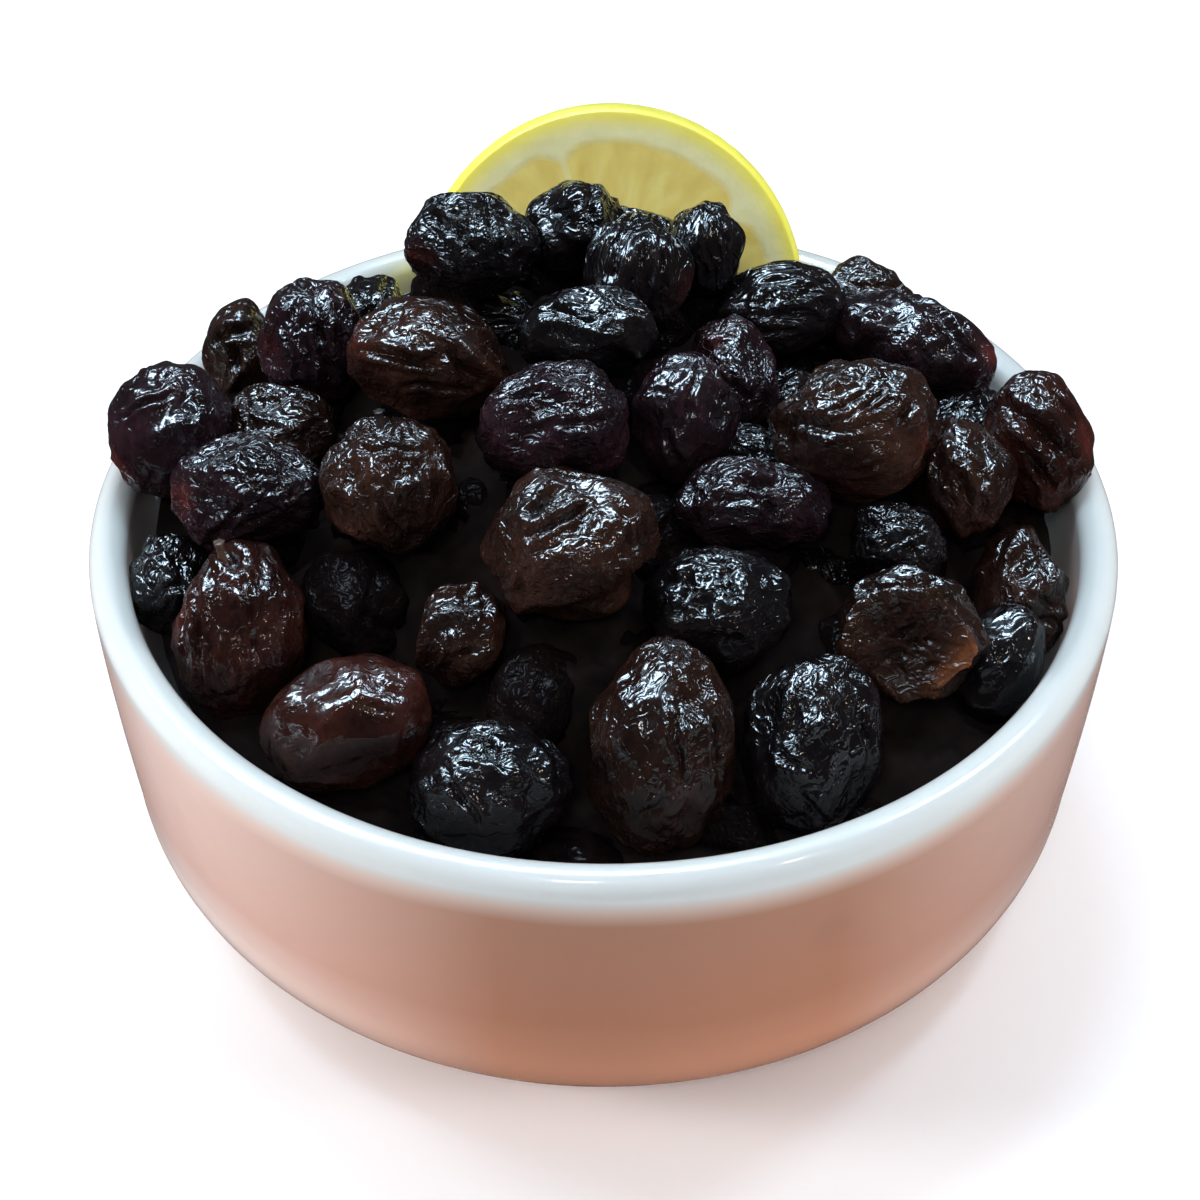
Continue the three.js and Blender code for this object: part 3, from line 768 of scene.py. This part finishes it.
def buried_rows():
    """More olives for the gaps: dropped at random a little under the heap, clear of the others."""
    random = np.random.default_rng(11)
    taken = [(row[:3], (row[3] + 2 * row[4]) / 6) for several in OLIVES.values() for row in several]
    places = np.array([place for place, _ in taken], dtype=float)
    sizes = np.array([size for _, size in taken])
    rows = []
    for _ in range(BURIED["tries"]):
        away = BURIED["reach"] * math.sqrt(random.uniform())
        turn = random.uniform(0, 2 * math.pi)
        x, y = away * math.cos(turn), away * math.sin(turn)
        size = random.uniform(*BURIED["radius"])
        z = core_height(np.array([x]), np.array([y]), random.uniform(*BURIED["sink"]))[0]
        apart = np.linalg.norm(places - (x, y, z), axis=1) - BURIED["closeness"] * (sizes + size)
        if apart.min() < 0 or y > BURIED["back"]:
            continue
        places = np.vstack([places, (x, y, z)])
        sizes = np.append(sizes, size)
        skin = random.choice(["crinkled", "folded"])
        rows.append((x, y, z, size * 2.2, size * 1.85, random.uniform(0, 180), 0.0, "deep", skin))
    return rows


def olives():
    groups = dict(OLIVES, buried=buried_rows())
    keyed = [((group, index), row) for group, rows in groups.items()
             for index, row in enumerate(rows)]
    kinds = {}
    for seed, (key, row) in enumerate(keyed):
        edge = MESH_EDGE.get(key[0], MESH_EDGE["shown"])
        kinds.setdefault(row[7], []).append(olive_arrays(key, row, seed, edge))
    for kind, parts in kinds.items():
        vertices, faces, colors, values = join_arrays(parts)
        piece = make_piece("olives_" + kind, vertices, faces, skin_material(kind), colors, values)
        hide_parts("olives")


def core_height(x, y, sink):
    """So far below the mean height of the olives round a place."""
    total = np.zeros_like(x)
    weights = np.zeros_like(x)
    for several in OLIVES.values():
        for ox, oy, oz, *_ in several:
            apart = np.hypot(x - ox, y - oy) / CORE["reach"]
            weight = np.exp((oz - BOWL["height"]) / CORE["lift"] - apart ** 2)
            total += weight * oz
            weights += weight
    return total / weights - sink


def core_dark_and_shade_material():
    nodes = Nodes("core")
    # Near black and matte: partly the dark olives under the heap, partly painted shade for the deep
    # gaps between them.
    core_color_and_shade = nodes.ramp(nodes.noise(300.0, 3.0),
                      [(0.3, (0.008, 0.006, 0.006)), (0.7, (0.016, 0.011, 0.010))])
    nodes.feed("Base Color", core_color_and_shade)
    nodes.set(Roughness=0.9, Specular_IOR_Level=0.0)
    return nodes.material


def core():
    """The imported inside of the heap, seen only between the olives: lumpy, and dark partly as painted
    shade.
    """
    rings, sectors = 100, 300
    outer = BOWL["radius"] - 2 * BOWL["lip"] - CORE["gap"]
    radius = np.linspace(0, outer, rings)[:, None] * np.ones(sectors)
    angle = np.arange(sectors) * 2 * math.pi / sectors * np.ones((rings, 1))
    x, y = (radius * np.cos(angle)).ravel(), (radius * np.sin(angle)).ravel()
    z = core_height(x, y, CORE["sink"])
    lean = math.tan(math.radians(LEMON["lean"]))
    slice_front = LEMON["front"][1] + (z - LEMON["front"][2]) * lean
    flat = np.stack([x, y, 0 * x], axis=1)
    z += (1.5 * noise(flat / 5.0) + 0.9 * ridges(flat, 6.0, 1.0, 0.8, 3.0)
          + 0.4 * ridges(flat, 2.8, 1.0, 0.8, 9.0))
    behind = (np.abs(x) < LEMON["radius"] + 2) & (y > slice_front - 2)
    points = np.stack([x, y, np.where(behind, CORE["under_slice"], z)], axis=1)
    faces = lathe_faces(rings, sectors)
    crossing = behind[faces].any(axis=1) & ~behind[faces].all(axis=1)
    crossing &= np.abs(x[faces]).mean(axis=1) < LEMON["radius"] + 0.5
    faces = faces[~crossing]
    piece = make_piece("olives_core", points, faces, core_dark_and_shade_material())
    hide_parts("olives")


# ------------------------------------------------------------
# The bowl

LIP_HEIGHT = BOWL["height"] - BOWL["lip"]
WALL_FOOT = BOWL["foot_height"] + BOWL["corner"]
FLOOR_TOP = BOWL["foot_height"] + BOWL["floor"]


def wall_radius(height):
    """The bowl's outer radius at a height between its corner and its lip."""
    down = np.maximum((LIP_HEIGHT - height) / (LIP_HEIGHT - WALL_FOOT), 0)
    return BOWL["radius"] - BOWL["taper"] * down ** BOWL["taper_curve"]


def arc(centre, radius, start, end, steps):
    """Points along part of a circle, from one angle in degrees to the other."""
    angle = np.radians(np.linspace(start, end, steps + 1))
    return np.array(centre) + radius * np.stack([np.cos(angle), np.sin(angle)], axis=1)


def bowl_profile():
    """Radius and height from the middle of the foot, up the outside and down to the floor."""
    foot = np.array([[0.01, 0], [20, 0], [BOWL["foot_radius"] - 0.5, 0],
                     [BOWL["foot_radius"], 0.2], [BOWL["foot_radius"] + 0.6, 1.6],
                     [BOWL["foot_radius"] + 1.4, BOWL["foot_height"]]])
    corner = arc((wall_radius(WALL_FOOT) - BOWL["corner"], WALL_FOOT), BOWL["corner"], -90, 0, 16)
    height = np.linspace(WALL_FOOT, LIP_HEIGHT, 26)[1:-1]
    wall = np.stack([wall_radius(height), height], axis=1)
    rim = arc((BOWL["radius"] - BOWL["lip"], LIP_HEIGHT), BOWL["lip"], 0, 180, 20)
    inner_foot = FLOOR_TOP + BOWL["inner_corner"]
    height = np.linspace(LIP_HEIGHT, inner_foot, 16)[1:-1]
    inside = np.stack([wall_radius(height) - 2 * BOWL["lip"], height], axis=1)
    inner_radius = wall_radius(inner_foot) - 2 * BOWL["lip"] - BOWL["inner_corner"]
    inner = arc((inner_radius, inner_foot), BOWL["inner_corner"], 0, -90, 10)
    return np.concatenate([foot, corner, wall, rim, inside, inner, [[0.01, FLOOR_TOP]]])


def glaze_material():
    """White inside and over the lip, and a warm tan outside that fades in just below the lip. The
    tan's paler sides and foot are painted light.
    """
    nodes = Nodes("glaze")
    position = nodes.add("ShaderNodeTexCoord").outputs["Object"]
    parts = nodes.add("ShaderNodeSeparateXYZ")
    nodes.link(position, parts.inputs[0])
    outside = nodes.attribute("outside")
    wave = nodes.math("MULTIPLY", nodes.noise(22.0, 2.0, coordinates=position), 0.0022)
    down = nodes.math("SUBTRACT", BOWL["height"] * MM, nodes.math("ADD", parts.outputs["Z"], wave))
    share = nodes.math("DIVIDE", down, BOWL["height"] * MM)
    # Both ramps get lighter towards the foot: painted light, for the light that the floor throws back
    # onto the lower wall.
    tan = nodes.ramp(share, [
        (0.030, (0.61, 0.63, 0.62)), (0.065, (0.55, 0.41, 0.34)), (0.115, (0.385, 0.192, 0.126)),
        (0.500, (0.430, 0.188, 0.112)), (0.760, (0.60, 0.270, 0.162))])
    # Painted side light: the tan turns paler and less red towards the left and right sides, more so on
    # the left.
    pale = nodes.ramp(share, [
        (0.030, (0.64, 0.65, 0.63)), (0.080, (0.76, 0.56, 0.49)), (0.500, (0.77, 0.510, 0.435)),
        (0.760, (0.93, 0.84, 0.79))])
    aside = nodes.math("DIVIDE", parts.outputs["X"], BOWL["radius"] * MM)
    to_side = nodes.math("ABSOLUTE", nodes.math("SUBTRACT", aside, 0.12))
    painted_side_light = nodes.ramp(to_side, [(0.30, (0.0,) * 3), (0.62, (0.45,) * 3), (0.95, (1.0,) * 3)])
    tan = nodes.mix(painted_side_light, tan, pale)
    smudge = nodes.ramp(nodes.noise(38.0, 3.0, coordinates=position),
                        [(0.30, (0.82, 0.85, 0.88)), (0.40, (1.0, 1.0, 1.0))])
    tan = nodes.mix(0.5, tan, smudge, "MULTIPLY")
    color = nodes.mix(outside, (0.61, 0.63, 0.61), tan)
    nodes.feed("Base Color", color)
    nodes.feed("Normal", nodes.bump(nodes.noise(90.0, 2.0, coordinates=position), 0.25, 0.0006))
    nodes.set(Roughness=0.2, Coat_Weight=0.6, Coat_Roughness=0.04, Sheen_Weight=0.20,
              Sheen_Roughness=0.3)
    nodes.shader.inputs["Sheen Tint"].default_value = (1.0, 0.55, 0.44, 1.0)
    return nodes.material


def bowl():
    profile = bowl_profile()
    sides = 240
    angle = np.arange(sides) * 2 * math.pi / sides
    radius = profile[:, 0][:, None] * np.ones(sides)
    height = profile[:, 1][:, None] * np.ones(sides)
    points = np.stack([radius * np.cos(angle), radius * np.sin(angle), height], axis=-1)
    points = points.reshape(-1, 3)
    lip = np.argmax(profile[:, 1])
    rows = np.arange(len(profile))
    outside = 1 - smoothstep(lip - 1, lip + 2, rows.astype(float))
    values = {"outside": np.repeat(outside, sides)}
    faces = lathe_faces(len(profile), sides)
    piece = make_piece("bowl_glazed", points, faces, glaze_material(), values=values)
    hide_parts("bowl")


# ------------------------------------------------------------
# The slice of lemon

def slice_place(points):
    """From the slice's own frame (x across, y into the slice, z up its face) to the dish's."""
    lean = math.radians(LEMON["lean"])
    y = points[:, 1] * math.cos(lean) + points[:, 2] * math.sin(lean)
    z = -points[:, 1] * math.sin(lean) + points[:, 2] * math.cos(lean)
    return np.stack([points[:, 0], y, z], axis=1) + np.array(LEMON["front"])


def slice_frame(points):
    """From the dish's frame to the slice's own."""
    lean = math.radians(LEMON["lean"])
    x, y, z = (points - np.array(LEMON["front"])).T
    into = y * math.cos(lean) - z * math.sin(lean)
    up = y * math.sin(lean) + z * math.cos(lean)
    return np.stack([x, into, up], axis=1)


def membrane_distance(radius, angle):
    """How far a point on the cut face lies from the nearest membrane."""
    nearest = np.full(radius.shape, 1e9)
    for membrane in LEMON["membranes"]:
        apart = np.abs((angle - membrane + 540) % 360 - 180)
        nearest = np.minimum(nearest, radius * np.sin(np.radians(np.minimum(apart, 90))))
    return nearest


def segment_of(angle):
    """How many degrees from the middle of its segment a place lies, and which segment it is."""
    edges = np.array(sorted(LEMON["membranes"]))
    index = np.searchsorted(edges, angle % 360) % len(edges)
    high = edges[index]
    low = edges[index - 1]
    middle = low + ((high - low) % 360) / 2
    return (angle - middle + 540) % 360 - 180, index


def lemon_face(radius, angle, phase):
    """How deep the cut face has sunk, how far each place is pulp and rind, and its tone."""
    edge = LEMON["radius"] - LEMON["pith"]
    turn = np.radians(angle)
    round_trip = np.stack([np.cos(turn) * 4, np.sin(turn) * 4, 0 * turn + phase], axis=1)
    wobble = 0.5 * noise(round_trip) + 0.25 * noise(round_trip * 2.7)
    away = membrane_distance(radius, angle)
    corner = 1.9 * np.exp(-(away / 1.8) ** 2)
    reach = edge - radius + wobble - corner
    pulp = smoothstep(-0.3, 1.1, reach) * (0.35 + 0.65 * smoothstep(0.05, 0.7, away))
    pulp *= smoothstep(1.2, 2.8, radius)
    turned, index = segment_of(angle)
    grain = np.stack([radius * 0.16, np.radians(turned) * 8.5, index * 7.0 + phase], axis=1)
    drops = noise(grain) + 0.5 * noise(grain * 2.3 + 9)
    depth = pulp * (0.07 + 0.10 * drops)
    rind = smoothstep(LEMON["radius"] - 4.0, LEMON["radius"] - 0.2, radius + 0.6 * wobble)
    return depth, pulp, rind, 0.5 + 0.9 * drops


def lemon_material():
    nodes = Nodes("lemon")
    pulp = nodes.attribute("pulp")
    rind = nodes.attribute("rind")
    streak = nodes.attribute("streak")
    flesh = nodes.ramp(streak, [(0.0, (0.64, 0.50, 0.130)), (0.5, (0.70, 0.57, 0.165)),
                                (1.0, (0.75, 0.65, 0.22))])
    cloudy = nodes.ramp(nodes.noise(260.0, 3.0),
                        [(0.3, (0.66, 0.63, 0.33)), (0.7, (0.74, 0.71, 0.40))])
    zest = nodes.ramp(nodes.noise(180.0, 3.0),
                      [(0.3, (0.76, 0.68, 0.070)), (0.7, (0.80, 0.73, 0.11))])
    color = nodes.mix(rind, nodes.mix(pulp, cloudy, flesh), zest)
    nodes.feed("Base Color", color)
    wet = nodes.ramp(pulp, [(0.0, (0.5,) * 3), (1.0, (0.22,) * 3)])
    nodes.feed("Roughness", wet)
    nodes.feed("Normal", nodes.bump(nodes.noise(700.0, 3.0), 0.25, 0.0003))
    nodes.set(Subsurface_Weight=0.3, Subsurface_Scale=0.004, Coat_Weight=0.25, Coat_Roughness=0.12)
    nodes.shader.inputs["Subsurface Radius"].default_value = (1.0, 0.8, 0.3)
    return nodes.material


def lemon():
    """The slice, ring by ring: in its front face, round its rind and in its back face."""
    columns = 360
    half = LEMON["thickness"] / 2
    outer = LEMON["radius"]
    inward = np.concatenate([[0.02], np.linspace(0.6, outer - 7.0, 44),
                             np.linspace(outer - 6.6, outer - 0.9, 24)])
    steepest, bulge = 75, 0.35
    bends = np.radians(np.linspace(steepest, -steepest, 12))
    rings = [(r, 1, None) for r in inward]
    rings += [(outer - 1.0 + math.cos(bend), None, bend) for bend in bends]
    rings += [(r, -1, None) for r in inward[::-1]]
    angle = np.arange(columns) * 360 / columns
    turn = np.radians(angle)
    points, values = [], {"pulp": [], "rind": [], "streak": []}
    for radius, side, bend in rings:
        spread = np.full(columns, radius)
        if side:
            depth, *shares = lemon_face(spread, angle, 3.0 if side > 0 else 40.0)
            across = side * (half - depth)
        else:
            pores = noise(np.stack([np.cos(turn) * 26, np.sin(turn) * 26,
                                    np.full(columns, bend * 3)], axis=1))
            spread = spread - 0.12 * smoothstep(0.15, 0.4, pores)
            level = (half - bulge) * math.sin(bend) / math.sin(math.radians(steepest))
            across = np.full(columns, level + bulge * math.sin(bend))
            shares = np.zeros(columns), np.ones(columns), np.full(columns, 0.5)
        points.append(np.stack([spread * np.cos(turn), half - across, spread * np.sin(turn)], axis=1))
        for several, share in zip(values.values(), shares):
            several.append(share)
    values = {key: np.concatenate(several) for key, several in values.items()}
    placed = slice_place(np.concatenate(points))
    faces = lathe_faces(len(rings), columns)[:, ::-1]
    piece = make_piece("lemon_cut", placed, faces, lemon_material(), values=values)
    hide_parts("lemon_slice")


# ------------------------------------------------------------
# Stage and light

def stage():
    """A plain pale floor that glows a little far from the dish, where the lamps don't reach."""
    size = 3.0
    mesh = bpy.data.meshes.new("floor")
    corners = [(-size, -size, 0), (size, -size, 0), (size, size, 0), (-size, size, 0)]
    mesh.from_pydata(corners, [], [(0, 1, 2, 3)])
    nodes = Nodes("floor")
    tone = nodes.ramp(nodes.noise(6.0, 2.0), [(0.3, (0.93, 0.89, 0.87)), (0.7, (0.95, 0.91, 0.89))])
    nodes.feed("Base Color", tone)
    away = nodes.add("ShaderNodeVectorMath", operation="LENGTH")
    nodes.link(nodes.add("ShaderNodeTexCoord").outputs["Object"], away.inputs[0])
    share = nodes.math("DIVIDE", away.outputs["Value"], size)
    glow = nodes.ramp(share, [(0.15, (0.0,) * 3), (0.45, (0.6,) * 3)])
    nodes.feed("Emission Strength", glow)
    nodes.set(Roughness=0.9)
    mesh.materials.append(nodes.material)
    floor = bpy.data.objects.new("floor", mesh)
    bpy.context.collection.objects.link(floor)
    floor.visible_glossy = False


def lamp(name, turn, rise, distance, size, power, color, glints=False):
    """A soft box that looks at the dish, to light it or, for glints, only to be mirrored in it."""
    data = bpy.data.lights.new(name, "AREA")
    data.shape = "RECTANGLE"
    data.size, data.size_y = size
    data.energy = power
    data.color = color
    light = bpy.data.objects.new(name, data)
    bpy.context.collection.objects.link(light)
    turn, rise = math.radians(turn), math.radians(rise)
    way = Vector((math.cos(turn) * math.cos(rise), math.sin(turn) * math.cos(rise), math.sin(rise)))
    light.location = way * distance
    light.rotation_euler = way.to_track_quat("Z", "Y").to_euler()
    light.visible_diffuse = not glints
    light.visible_glossy = glints


def overcast(strength, color):
    """Even, shadowless light from above, so that the floor stays pale far from the dish."""
    data = bpy.data.lights.new("overcast", "SUN")
    data.energy = strength
    data.angle = math.radians(120)
    data.color = color
    light = bpy.data.objects.new("overcast", data)
    bpy.context.collection.objects.link(light)
    light.visible_glossy = False


COOL, PLAIN, WARM = (0.62, 0.82, 1.0), (0.95, 0.97, 1.0), (1.0, 0.88, 0.72)

# Where a lamp stands: its turn round the dish, 0 to the right and 90 behind, its rise and distance,
# then its two sizes, its power and its colour.
FILL_LAMPS = {
    "back": (105, 72, 1.1, (0.34, 0.18), 4.3, COOL),
    "left": (160, 56, 1.1, (0.20, 0.24), 2.8, COOL),
    "right": (30, 60, 1.1, (0.14, 0.19), 2.6, COOL),
    "front": (262, 50, 1.2, (0.15, 0.15), 1.9, PLAIN),
    "left_low": (184, 15, 1.0, (0.25, 0.20), 8.6, PLAIN),
    "right_low": (348, 15, 1.0, (0.25, 0.20), 5.6, PLAIN),
}
GLINT_LAMPS = {
    "back_glints": (108, 68, 1.1, (0.40, 0.26), 11.0, COOL),
    "back_halo": (105, 70, 1.12, (0.66, 0.44), 2.6, COOL),
    "left_glints": (158, 58, 1.1, (0.34, 0.34), 10.5, COOL),
    "left_halo": (160, 56, 1.12, (0.46, 0.46), 2.0, COOL),
    "right_glints": (30, 58, 1.1, (0.18, 0.22), 3.7, COOL),
    "right_halo": (30, 58, 1.12, (0.32, 0.36), 1.1, COOL),
    "front_glints": (262, 64, 1.1, (0.10, 0.10), 0.8, PLAIN),
    "warm_glints": (315, 52, 1.1, (0.06, 0.06), 0.5, WARM),
    "sky_glints": (110, 60, 1.4, (1.30, 0.90), 3.6, COOL),
}


def lights():
    overcast(1.4, PLAIN)
    for name, values in FILL_LAMPS.items():
        lamp(name, *values)
    for name, values in GLINT_LAMPS.items():
        lamp(name, *values, glints=True)
    world = bpy.data.worlds.new("world")
    bpy.context.scene.world = world
    world.use_nodes = True
    background = world.node_tree.nodes["Background"]
    background.inputs["Color"].default_value = (*PLAIN, 1.0)
    background.inputs["Strength"].default_value = 0.04
    bpy.context.scene.view_settings.view_transform = "Standard"


# ------------------------------------------------------------

look()
stage()
lights()
bowl()
lemon()
core()
olives()
stalks()
